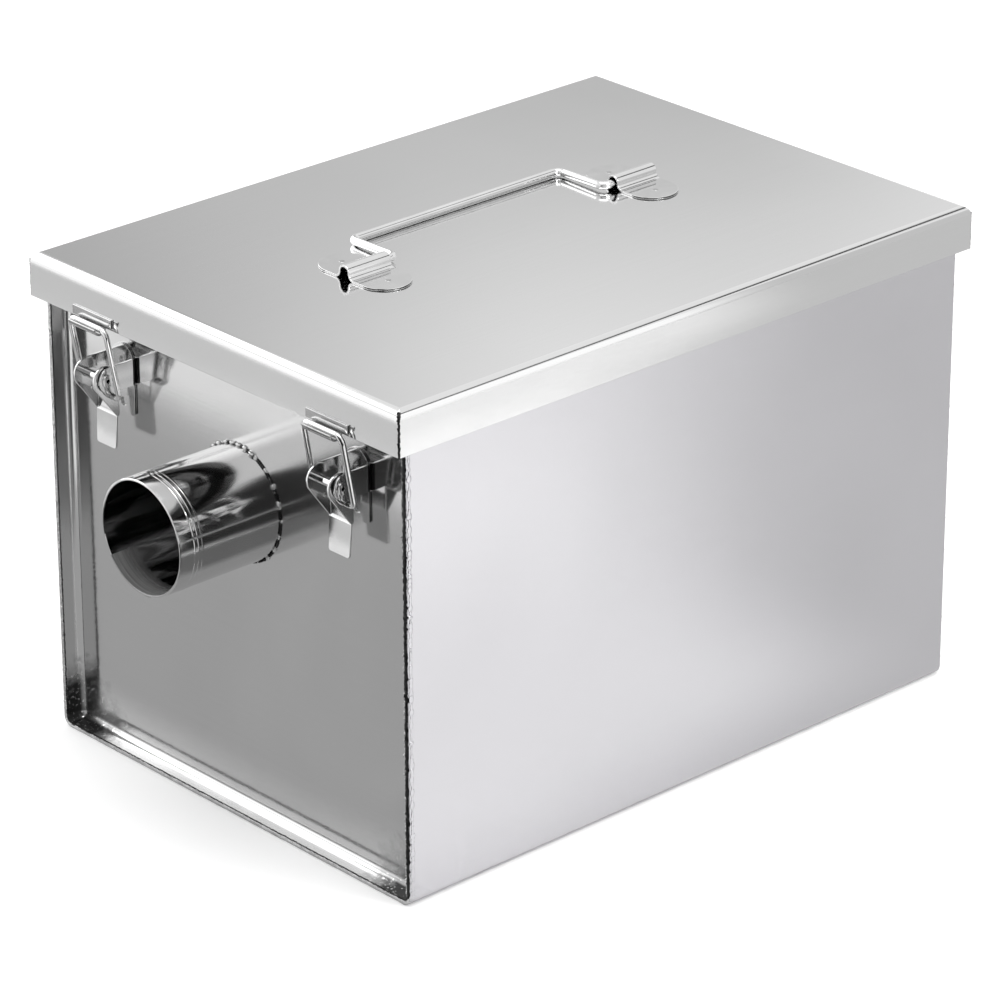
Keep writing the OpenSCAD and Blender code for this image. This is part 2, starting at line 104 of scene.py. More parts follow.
class Slot(Enum):
    """Material slots of the record that a piece can take its finish from."""

    SHEET = "sheet_steel"
    PIPE = "pipe_steel"
    BRIGHT = "bright_steel"
    RUBBER = "gasket_rubber"


class Grain(Enum):
    """Direction in which a sheet was brushed, as stretch of its pattern along X, Y and Z."""

    ALONG_X = (9.0, 900.0, 900.0)
    ALONG_Y = (900.0, 9.0, 900.0)
    ALONG_Z = (900.0, 900.0, 9.0)
    ROUND_Y = (25.0, 1300.0, 25.0)
    NONE = (260.0, 260.0, 260.0)


def grey(value: float, blue: float = 0.0) -> Colour:
    """A grey of that linear value, turned a little to blue and violet where asked."""
    return (value, value - blue / 2, value + blue, 1.0)


def feed(tree: NodeTree, socket: NodeSocket, value: object) -> None:
    """Link a node's input to a socket, or set it to a fixed value.

    Args:
        tree: Tree of the node.
        socket: The input.
        value: Output of another node, or the fixed value.
    """
    if isinstance(value, NodeSocket):
        tree.links.new(value, socket)
    else:
        socket.default_value = value


def add_node(tree: NodeTree, kind: str, *given: object, **values: object) -> Node:
    """Add a node to a tree, set its properties and feed its inputs.

    Args:
        tree: Tree that gets the node.
        kind: Blender's name of the node type.
        given: What feeds its first inputs, in their order.
        values: Properties, and what feeds inputs by name, with spaces written as underscores.

    Returns:
        The new node.
    """
    node = tree.nodes.new(kind)
    for key, value in values.items():
        socket = node.inputs.get(key.replace("_", " "))
        if socket is None:
            setattr(node, key, value)
        else:
            feed(tree, socket, value)
    for socket, value in zip(node.inputs, given):
        feed(tree, socket, value)
    return node


def work_out(tree: NodeTree, operation: str, *given: object) -> NodeSocket:
    """Add a math node for an operation on sockets or values, and return its result."""
    return add_node(tree, "ShaderNodeMath", *given, operation=operation).outputs[0]


def ramp(tree: NodeTree, value: NodeSocket, low: float, high: float, first: float = 0.0, last: float = 1.0,
         **style: str) -> NodeSocket:
    """Add a node that leads from first to last as a value goes from low to high, and return its result."""
    return add_node(tree, "ShaderNodeMapRange", value, low, high, first, last, **style).outputs["Result"]


def mix(tree: NodeTree, kind: str, share: NodeSocket, first: object, second: object) -> NodeSocket:
    """Blend two colours or two values in a material.

    Args:
        tree: The material's tree.
        kind: RGBA or VALUE.
        share: Socket that gives the share of the second.
        first: Socket or fixed value at a share of 0.
        second: Socket or fixed value at a share of 1.

    Returns:
        The socket of the blend.
    """
    node = add_node(tree, "ShaderNodeMix", share, data_type="FLOAT" if kind == "VALUE" else kind)
    ends = [s for s in node.inputs if s.type == kind and s.name != "Factor"]
    for end, value in zip(ends, (first, second)):
        feed(tree, end, value)
    return next(s for s in node.outputs if s.type == kind)


def new_group(name: str, kind: str, **inputs: object) -> tuple[NodeTree, dict[str, NodeSocket]]:
    """Start a node group with named inputs.

    Args:
        name: Name of the group.
        kind: Blender's name of the tree type.
        inputs: Names of the inputs, each with its default, or with its socket type if it has none.

    Returns:
        The group, and the sockets that bring its inputs in.
    """
    tree = bpy.data.node_groups.new(name, kind)
    for key, value in inputs.items():
        known = SOCKET_TYPES.get(type(value))
        socket = tree.interface.new_socket(name=key, in_out="INPUT", socket_type=known or value)
        if known:
            socket.default_value = value
    way_in = tree.nodes.new("NodeGroupInput")
    return tree, {key: way_in.outputs[key] for key in inputs}


def end_group(tree: NodeTree, name: str, result: NodeSocket, kind: str = "NodeSocketFloat") -> NodeTree:
    """Give a node group its one output.

    Args:
        tree: The group.
        name: Name of the output.
        result: Socket that feeds it.
        kind: Its socket type.

    Returns:
        The group.
    """
    tree.interface.new_socket(name=name, in_out="OUTPUT", socket_type=kind)
    add_node(tree, "NodeGroupOutput", result)
    return tree


def grain_group() -> NodeTree:
    """Make the shader group of fine brushing lines.

    Returns:
        A group with the inputs Coordinates and Stretch, and the output Lines from 0 to 1.
    """
    tree, given = new_group("brushed_grain", "ShaderNodeTree", Coordinates="NodeSocketVector",
                            Stretch=(1.0, 1.0, 1.0))
    scaled = add_node(tree, "ShaderNodeVectorMath", *given.values(), operation="MULTIPLY")
    noise = add_node(tree, "ShaderNodeTexNoise", scaled.outputs[0], Scale=1.0, Detail=3.0, Roughness=0.6)
    return end_group(tree, "Lines", noise.outputs["Fac"])


def haze_group() -> NodeTree:
    """Make the shader group of slow cloudy changes over a rolled sheet.

    Returns:
        A group with the inputs Coordinates and Scale, and the output Cloud from 0 to 1.
    """
    tree, given = new_group("rolled_haze", "ShaderNodeTree", Coordinates="NodeSocketVector", Scale=8.0)
    noise = add_node(tree, "ShaderNodeTexNoise", given["Coordinates"], Scale=given["Scale"], Detail=2.0,
                     Roughness=0.45, Distortion=0.7)
    return end_group(tree, "Cloud", noise.outputs["Fac"])


def scorch_group() -> NodeTree:
    """Make the shader group of the heat stains that welding leaves in the lower corners of the ends.

    Returns:
        A group with the inputs Coordinates, Corner and Reach, and the output Stain from 0 to 1.
    """
    tree, given = new_group("corner_scorch", "ShaderNodeTree", Coordinates="NodeSocketVector",
                            Corner=(0.12, 0.17, 0.003), Reach=0.04)
    place, corner, reach = given.values()
    folded = add_node(tree, "ShaderNodeVectorMath", place, operation="ABSOLUTE").outputs[0]
    away = add_node(tree, "ShaderNodeVectorMath", folded, corner, operation="DISTANCE").outputs["Value"]
    patches = add_node(tree, "ShaderNodeTexNoise", place, Scale=110.0, Detail=3.0, Roughness=0.6)
    ragged = work_out(tree, "MULTIPLY_ADD", patches.outputs["Fac"], 0.03, away)
    fade = ramp(tree, work_out(tree, "DIVIDE", ragged, reach), 0.72, 1.12, 1.0, 0.0)
    axes = add_node(tree, "ShaderNodeSeparateXYZ", folded)
    edge = add_node(tree, "ShaderNodeSeparateXYZ", corner)
    depth = work_out(tree, "SUBTRACT", edge.outputs["Y"], axes.outputs["Y"])
    both = work_out(tree, "MULTIPLY", fade, ramp(tree, depth, 6.0 * MM, 9.0 * MM, 1.0, 0.0))
    spatter = add_node(tree, "ShaderNodeTexNoise", place, Scale=620.0, Detail=1.0, Roughness=0.4)
    specks = ramp(tree, spatter.outputs["Fac"], 0.62, 0.70, 1.0, 0.25)
    return end_group(tree, "Stain", work_out(tree, "MULTIPLY", both, specks))


GRAIN = grain_group()
HAZE = haze_group()
SCORCH = scorch_group()


@dataclass(frozen=True)
class Finish:
    """A surface of the trap: a tone between two greys, with brushing lines and slow haze.

    Faces that carry the mark take a tone, a polish and a share of metal of their own: painted shade on the
    narrow sides of some pressings, and on the lower bore of a tube scratches with painted light that fades
    inward from the mouth.
    """

    name: str
    slot: Slot
    light: Colour
    dark: Colour
    polish: float
    scatter: float
    grain: Grain = Grain.NONE
    grain_height: float = 0.02
    haze_scale: float = 8.0
    haze_height: float = 0.0
    metallic: float = 1.0
    scorch: float = 0.0
    mark_tone: float | None = None
    mark_polish: float = 0.3
    mark_metal: float = 1.0

    def material(self) -> Material:
        """Build the finish's material, or return it if it was built before.

        Returns:
            The material.
        """
        known = bpy.data.materials.get(self.name)
        if known is not None:
            return known
        material = bpy.data.materials.new(self.name)
        material.use_nodes = True
        tree = material.node_tree
        shader = tree.nodes["Principled BSDF"]
        shader.inputs["Metallic"].default_value = self.metallic
        place = add_node(tree, "ShaderNodeTexCoord").outputs["Object"]
        lines = add_node(tree, "ShaderNodeGroup", node_tree=GRAIN, Coordinates=place,
                         Stretch=self.grain.value).outputs["Lines"]
        cloud = add_node(tree, "ShaderNodeGroup", node_tree=HAZE, Coordinates=place,
                         Scale=self.haze_scale).outputs["Cloud"]
        tone = work_out(tree, "MULTIPLY_ADD", lines, 0.35, ramp(tree, cloud, 0.3, 0.7, 0.0, 0.65))
        surface = mix(tree, "RGBA", tone, self.dark, self.light)
        roughness = ramp(tree, tone, 0.0, 1.0, self.polish, self.polish + self.scatter)
        if self.scorch > 0.0:
            surface, roughness = self.add_scorch(tree, place, surface, roughness)
        if self.mark_tone is not None:
            surface, roughness = self.add_mark(tree, lines, surface, roughness)
        slow = add_node(tree, "ShaderNodeBump", Strength=1.0, Distance=self.haze_height * MM, Height=cloud)
        fine = add_node(tree, "ShaderNodeBump", Strength=1.0, Distance=self.grain_height * MM, Height=lines,
                        Normal=slow.outputs["Normal"])
        feed(tree, shader.inputs["Base Color"], surface)
        feed(tree, shader.inputs["Roughness"], roughness)
        feed(tree, shader.inputs["Normal"], fine.outputs["Normal"])
        return material

    def add_scorch(self, tree: NodeTree, place: NodeSocket, surface: NodeSocket,
                   roughness: NodeSocket) -> tuple[NodeSocket, NodeSocket]:
        """Darken and roughen the lower corners of the ends.

        Args:
            tree: The material's tree.
            place: Socket that gives the coordinates.
            surface: Colour before the stain.
            roughness: Roughness before the stain.

        Returns:
            The colour and the roughness with the stain.
        """
        stain = add_node(tree, "ShaderNodeGroup", node_tree=SCORCH, Coordinates=place, Corner=SCORCH_CORNER,
                         Reach=self.scorch).outputs["Stain"]
        surface = mix(tree, "RGBA", stain, surface, grey(SCORCH_TONE))
        return surface, mix(tree, "VALUE", stain, roughness, SCORCH_ROUGHNESS)

    def add_mark(self, tree: NodeTree, lines: NodeSocket, surface: NodeSocket,
                 roughness: NodeSocket) -> tuple[NodeSocket, NodeSocket]:
        """Give the marked faces their own tone, roughness and share of metal: painted shade on narrow sides,
        scratches with painted light in a bore.

        Args:
            tree: The material's tree.
            lines: Socket that gives the brushing lines.
            surface: Colour of the other faces.
            roughness: Roughness of the other faces.

        Returns:
            The colour and the roughness of all faces.
        """
        reader = add_node(tree, "ShaderNodeAttribute", attribute_name=MARK, attribute_type="GEOMETRY")
        mark = reader.outputs["Fac"]
        low, high = grey(0.5 * self.mark_tone), grey(1.5 * self.mark_tone)
        mark_colour = mix(tree, "RGBA", ramp(tree, lines, 0.35, 0.7), low, high)
        metal = mix(tree, "VALUE", mark, self.metallic, self.mark_metal)
        feed(tree, tree.nodes["Principled BSDF"].inputs["Metallic"], metal)
        surface = mix(tree, "RGBA", mark, surface, mark_colour)
        return surface, mix(tree, "VALUE", mark, roughness, self.mark_polish)


SIDE_SHEET = Finish("side_sheet", Slot.SHEET, grey(0.70, 0.016), grey(0.65, 0.014), 0.19, 0.08,
                    Grain.ALONG_Y, 0.004, 5.0, 0.2)
LID_SHEET = Finish("lid_sheet", Slot.SHEET, grey(0.78), grey(0.72), 0.07, 0.05,
                   Grain.ALONG_Y, 0.003, 4.0, 0.08)
END_SHEET = Finish("end_sheet", Slot.SHEET, grey(0.74), grey(0.68), 0.08, 0.08,
                   Grain.ALONG_X, 0.003, 9.0, 0.35, scorch=40.0 * MM)
INNER_SHEET = Finish("inner_sheet", Slot.SHEET, grey(0.62), grey(0.54), 0.28, 0.12,
                     Grain.ALONG_Z, 0.004, 7.0, 0.2)
# The marked lower bore of a pipe is scratched and brighter near the mouth: painted light that fades inward.
PIPE_TUBE = Finish("pipe_tube", Slot.PIPE, grey(0.70), grey(0.62), 0.05, 0.06,
                   Grain.ROUND_Y, 0.003, 14.0, 0.1, mark_tone=0.28, mark_polish=0.45, mark_metal=0.3)
BRIGHT_PRESSING = Finish("bright_pressing", Slot.BRIGHT, grey(0.76), grey(0.68), 0.06, 0.06,
                         Grain.NONE, 0.002, 60.0, 0.04)
# A bright pressing whose marked narrow sides are near-black: painted shade of the gaps where they meet the lid
# or the end panel.
PAINTED_SHADE_PRESSING = replace(BRIGHT_PRESSING, name="pressing_with_painted_shade", mark_tone=0.03, mark_polish=0.35)
DULL_PRESSING = Finish("dull_pressing", Slot.BRIGHT, grey(0.52), grey(0.40), 0.10, 0.10,
                       Grain.NONE, 0.004, 90.0, 0.04)
BRIGHT_WIRE = Finish("bright_wire", Slot.BRIGHT, grey(0.80), grey(0.72), 0.05, 0.05,
                     Grain.NONE, 0.002, 60.0, 0.02)
WELD_METAL = Finish("weld_metal", Slot.SHEET, grey(0.74), grey(0.42), 0.10, 0.15,
                    Grain.NONE, 0.02, 220.0, 0.05)
SCORCHED_WELD = Finish("scorched_weld", Slot.SHEET, grey(0.05), grey(0.004), 0.22, 0.22,
                       Grain.NONE, 0.03, 180.0, 0.05)
SEAL_RUBBER = Finish("seal_rubber", Slot.RUBBER, grey(0.05, 0.004), grey(0.03, 0.002), 0.62, 0.18,
                     Grain.NONE, 0.02, 30.0, 0.02, metallic=0.0)


def new_object(name: str, data: ID) -> Object:
    """Put a mesh, a lamp or a camera into the scene as an object at the origin.

    Args:
        name: Name of the object.
        data: Its mesh, lamp or camera.

    Returns:
        The object.
    """
    thing = bpy.data.objects.new(name, data)
    bpy.context.scene.collection.objects.link(thing)
    return thing


def settle(piece: Object, body: str, finish: Finish) -> None:
    """Give a piece its finish, let it ride on a body and report it.

    Args:
        piece: The piece, with its place in its mesh.
        body: Body of the frame that it moves with.
        finish: Its finish.
    """
    piece.data.materials.clear()
    piece.data.materials.append(finish.material())
    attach(piece, body)
    LOG.info("%s rides on %s, %d faces", piece.name, body, len(piece.data.polygons))


def smooth_piece(name: str, mesh: Mesh, sharp: float) -> Object:
    """Put a mesh into the scene with smooth shading that keeps its large faces flat.

    Args:
        name: Name of the object.
        mesh: Its mesh.
        sharp: Angle in degrees from which an edge stays sharp.

    Returns:
        The object.
    """
    for face in mesh.polygons:
        face.use_smooth = True
    mesh.set_sharp_from_angle(angle=math.radians(sharp))
    piece = new_object(name, mesh)
    lean = piece.modifiers.new("weighted", "WEIGHTED_NORMAL")
    lean.weight = 100
    lean.keep_sharp = True
    graph = bpy.context.evaluated_depsgraph_get()
    flat = bpy.data.meshes.new_from_object(piece.evaluated_get(graph), preserve_all_data_layers=True,
                                           depsgraph=graph)
    piece.modifiers.remove(lean)
    piece.data = flat
    flat.name = name
    return piece


def round_edges(node: str, finish: Finish, edge: float, sharp: float = 32.0,
                shape: Callable[[bmesh.types.BMesh], None] | None = None) -> Object:
    """Replace a node by a copy with merged faces, rounded edges and smooth shading.

    Args:
        node: Node of the frame.
        finish: Finish of the copy.
        edge: Width of the rounding.
        sharp: Angle in degrees from which an edge is rounded.
        shape: Last change to the rounded mesh.

    Returns:
        The new piece.
    """
    solid = frame["nodes"][node]
    shell = bmesh.new()
    shell.from_mesh(solid.data)
    bmesh.ops.remove_doubles(shell, verts=shell.verts, dist=MERGE_DISTANCE)
    bmesh.ops.dissolve_limit(shell, angle_limit=FLAT_ANGLE, verts=shell.verts, edges=shell.edges)
    limit = math.radians(sharp)
    corners = [e for e in shell.edges if len(e.link_faces) == 2 and e.calc_face_angle(0.0) > limit]
    bmesh.ops.bevel(shell, geom=corners, offset=edge, segments=EDGE_SEGMENTS, profile=0.5, affect="EDGES",
                    clamp_overlap=False)
    if shape is not None:
        shape(shell)
    mesh = bpy.data.meshes.new(f"{node}_rounded")
    shell.to_mesh(mesh)
    shell.free()
    piece = smooth_piece(f"{node}_rounded", mesh, sharp)
    settle(piece, solid["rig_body"], finish)
    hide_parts(node)
    return piece


def mark_faces(mesh: Mesh, share: Callable[[MeshPolygon], float]) -> None:
    """Mark faces of a mesh for the second tone of its finish.

    Args:
        mesh: The mesh.
        share: Gives the strength of a face's mark, from 0 to 1.
    """
    marks = mesh.attributes.new(MARK, "FLOAT", "FACE")
    for face in mesh.polygons:
        marks.data[face.index].value = share(face)


def paint(node: str, finish: Finish) -> None:
    """Give a node of the frame its finish and leave its shape as it is.

    Args:
        node: The node.
        finish: Its finish.
    """
    materials = frame["nodes"][node].data.materials
    materials.clear()
    materials.append(finish.material())
    LOG.info("%s keeps its shape", node)


def bead_tree() -> NodeTree:
    """Make the geometry nodes that lay a weld bead of overlapping drops along a path.

    Returns:
        A tree with the inputs Path, Spacing, Drop, Least, Most, Shake, Seed and Material.
    """
    tree, given = new_group("weld_bead", "GeometryNodeTree", Path="NodeSocketGeometry", Spacing=1.5 * MM,
                            Drop=1.0 * MM, Least=(0.6, 0.6, 0.6), Most=(1.1, 1.1, 1.1), Shake=0.3 * MM, Seed=1,
                            Material="NodeSocketMaterial")
    curve = add_node(tree, "GeometryNodeMeshToCurve", given["Path"])
    steps = add_node(tree, "GeometryNodeResampleCurve", mode="LENGTH", Curve=curve.outputs[0],
                     Length=given["Spacing"])
    drop = add_node(tree, "GeometryNodeMeshIcoSphere", Radius=given["Drop"], Subdivisions=2)
    tangent = add_node(tree, "GeometryNodeInputTangent")
    turn = add_node(tree, "FunctionNodeAlignRotationToVector", axis="Z", Vector=tangent.outputs[0])
    sizes = add_node(tree, "FunctionNodeRandomValue", given["Least"], given["Most"],
                     data_type="FLOAT_VECTOR", Seed=given["Seed"])
    back = work_out(tree, "MULTIPLY", given["Shake"], -1.0)
    shifts = add_node(tree, "FunctionNodeRandomValue", back, given["Shake"], data_type="FLOAT_VECTOR",
                      Seed=work_out(tree, "ADD", given["Seed"], 17.0))
    place = add_node(tree, "GeometryNodeInstanceOnPoints", Points=steps.outputs[0],
                     Instance=drop.outputs["Mesh"], Rotation=turn.outputs[0], Scale=sizes.outputs[0])
    shake = add_node(tree, "GeometryNodeTranslateInstances", Instances=place.outputs[0],
                     Translation=shifts.outputs[0])
    solid = add_node(tree, "GeometryNodeRealizeInstances", shake.outputs[0])
    smooth = add_node(tree, "GeometryNodeSetShadeSmooth", solid.outputs[0])
    coat = add_node(tree, "GeometryNodeSetMaterial", smooth.outputs[0], Material=given["Material"])
    return end_group(tree, "Bead", coat.outputs[0], "NodeSocketGeometry")


BEAD_TREE = bead_tree()


def run_tree(name: str, tree: NodeTree, mesh: Mesh, values: dict[str, object]) -> Object:
    """Run a geometry node tree on a mesh and keep the result as a plain mesh.

    Args:
        name: Name of the new piece.
        tree: The tree.
        mesh: Mesh that the tree starts from.
        values: Values of the tree's named inputs.

    Returns:
        The new piece, without a modifier.
    """
    carrier = new_object(f"{name}_carrier", mesh)
    modifier = carrier.modifiers.new("tree", "NODES")
    modifier.node_group = tree
    sockets = {item.name: item.identifier for item in tree.interface.items_tree if item.item_type == "SOCKET"}
    for key, value in values.items():
        modifier[sockets[key]] = value
    carrier.update_tag()
    graph = bpy.context.evaluated_depsgraph_get()
    result = bpy.data.meshes.new_from_object(carrier.evaluated_get(graph))
    carrier.modifiers.remove(modifier)
    bpy.data.objects.remove(carrier)
    result.name = name
    return new_object(name, result)


def path_mesh(points: Sequence[Vector], closed: bool) -> Mesh:
    """Make a mesh of edges along a path.

    Args:
        points: Points of the path.
        closed: Whether the last point joins the first.

    Returns:
        The mesh.
    """
    edges = [(i, i + 1) for i in range(len(points) - 1)]
    if closed:
        edges.append((len(points) - 1, 0))
    mesh = bpy.data.meshes.new("path")
    mesh.from_pydata([tuple(p) for p in points], edges, [])
    return mesh


@dataclass(frozen=True)
class WeldBead:
    """A weld of overlapping drops: size of a drop, spread of sizes, spacing, unevenness and finish."""

    drop: float
    least: Triple
    most: Triple
    spacing: float
    shake: float
    finish: Finish = WELD_METAL

    def lay(self, name: str, points: Sequence[Vector], seed: int, closed: bool = False) -> None:
        """Lay the bead along a path on the trap's body.

        Args:
            name: Name of the piece.
            points: Points of the path.
            seed: Seed of its unevenness.
            closed: Whether the path is a ring.
        """
        values = {"Spacing": self.spacing, "Drop": self.drop, "Least": self.least, "Most": self.most,
                  "Shake": self.shake, "Seed": seed, "Material": self.finish.material()}
        settle(run_tree(name, BEAD_TREE, path_mesh(points, closed), values), TRAP_BODY, self.finish)


def arc(centre: Vector, radius: float, start: float, end: float, count: int) -> list[Vector]:
    """Points on a circular arc that stands upright and faces along Y.

    Args:
        centre: Middle of the circle.
        radius: Its radius.
        start: First angle in degrees, from X towards Z.
        end: Last angle in degrees.
        count: Number of steps.

    Returns:
        The points.
    """
    turns = [math.radians(start + (end - start) * i / count) for i in range(count + 1)]
    return [centre + radius * Vector((math.cos(t), 0, math.sin(t))) for t in turns]


@dataclass
class TankShell:
    """The folded tank with its two recessed end panels and the welds that join them."""

    edge: float = 0.15 * MM
    bend: float = 5.0 * MM
    bend_steps: int = 6
    seam_inset: float = 1.05 * MM
    seam_sink: float = 0.1 * MM
    seam_top_gap: float = 2.0 * MM
    crease_inset: float = 2.5 * MM
    silver_inset: float = 2.8 * MM
    spill_shift: float = 1.43 * MM
    bead: WeldBead = WeldBead(1.15 * MM, (0.6, 0.25, 0.7), (1.05, 0.45, 1.4), 1.2 * MM, 0.15 * MM)
    scorched: WeldBead = WeldBead(1.6 * MM, (0.6, 0.16, 0.6), (1.05, 0.30, 1.4), 1.5 * MM, 0.3 * MM,
                                  SCORCHED_WELD)
    spill: WeldBead = WeldBead(1.3 * MM, (0.12, 0.4, 0.8), (0.30, 1.2, 2.0), 2.2 * MM, 0.12 * MM, SIDE_SHEET)
    crease: WeldBead = WeldBead(0.34 * MM, (0.5, 0.5, 0.8), (1.2, 1.2, 1.9), 0.55 * MM, 0.16 * MM,
                                SCORCHED_WELD)
    silver: WeldBead = WeldBead(0.55 * MM, (0.3, 0.3, 0.5), (1.2, 1.2, 1.8), 1.3 * MM, 0.35 * MM)

    def build(self) -> None:
        """Dress the sheets and lay the end seams."""
        round_edges("tank_body", SIDE_SHEET, self.edge)
        for end, sign in ENDS:
            round_edges(f"{end}_end_panel", END_SHEET, self.edge)
            self.seam(end, sign)

    def seam(self, end: str, sign: float) -> None:
        """Lay the welds that run down both sides of an end and along its bottom.

        Args:
            end: Name of the end.
            sign: Side of the tank along Y.
        """
        low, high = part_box("tank_body")
        y = sign * (high.y - self.seam_sink)
        self.bead.lay(f"{end}_bottom_seam", self.foot(y, self.seam_inset), seed=3 + int(sign))
        self.crease.lay(f"{end}_bottom_crease", self.foot(y, self.crease_inset), seed=7 + int(sign))
        for x in (low.x, high.x):
            if x * sign > 0:
                self.bead.lay(f"{end}_bright_seam", self.rise(x, y, self.seam_inset), seed=31)
                self.crease.lay(f"{end}_bright_crease", self.rise(x, y, self.crease_inset), seed=32)
                continue
            self.scorched.lay(f"{end}_scorched_seam", self.rise(x, y, self.scorched.drop), seed=35)
            self.silver.lay(f"{end}_silver_seam", self.rise(x, y, self.silver_inset), seed=37)
            self.spill.lay(f"{end}_seam_spill", self.rise(x, y - sign * self.spill_shift, 0.0), seed=41)

    def rise(self, x: float, y: float, inset: float) -> list[Vector]:
        """Path up one side of an end.

        Args:
            x: Place of the side.
            y: Place of the end.
            inset: Way in from the side.

        Returns:
            The points of the path.
        """
        place = x - math.copysign(inset, x)
        start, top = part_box("tank_body")[0].z + self.bend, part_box("lid")[0].z - self.seam_top_gap
        return [Vector((place, y, start)), Vector((place, y, top))]

    def foot(self, y: float, inset: float) -> list[Vector]:
        """Path along the bottom of an end and round its two lower corners.

        Args:
            y: Place of the end.
            inset: Way in from the tank's outline.

        Returns:
            The points of the path.
        """
        low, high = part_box("tank_body")
        level = low.z + self.bend
        path = []
        for x, turn in ((high.x - self.bend, 0), (low.x + self.bend, -90)):
            path += arc(Vector((x, y, level)), self.bend - inset, turn, turn - 90, self.bend_steps)
        return path


def lathe(name: str, centre: Vector, along: Vector, profile: Sequence[tuple[float, float]], steps: int,
          sharp: float) -> Object:
    """Turn a closed profile about an axis.

    Args:
        name: Name of the piece.
        centre: Start of the axis.
        along: Unit vector of the axis.
        profile: Points of the profile, each a way along the axis and a radius.
        steps: Faces round the axis.
        sharp: Angle in degrees from which an edge stays sharp.

    Returns:
        The piece.
    """
    side = along.orthogonal().normalized()
    other = along.cross(side)
    count = len(profile)
    points = []
    faces = []
    for k in range(steps):
        turn = 2 * math.pi * k / steps
        out = side * math.cos(turn) + other * math.sin(turn)
        points += [tuple(centre + along * a + out * r) for a, r in profile]
        here, there = k * count, (k + 1) % steps * count
        for i in range(count):
            j = (i + 1) % count
            faces.append((here + i, there + i, there + j, here + j))
    mesh = bpy.data.meshes.new(name)
    mesh.from_pydata(points, [], faces)
    shell = bmesh.new()
    shell.from_mesh(mesh)
    bmesh.ops.recalc_face_normals(shell, faces=shell.faces)
    shell.to_mesh(mesh)
    shell.free()
    return smooth_piece(name, mesh, sharp)


def panel_face(end: str, sign: float) -> float:
    """Place along Y of an end panel's widest outer face.

    Args:
        end: Name of the end.
        sign: Side of the tank along Y.

    Returns:
        The place.
    """
    areas: dict[float, float] = {}
    for face in frame["nodes"][f"{end}_end_panel"].data.polygons:
        if face.normal.y * sign > 0.999:
            place = round(face.center.y, 5)
            areas[place] = areas.get(place, 0.0) + face.area
    return max(areas, key=areas.get)


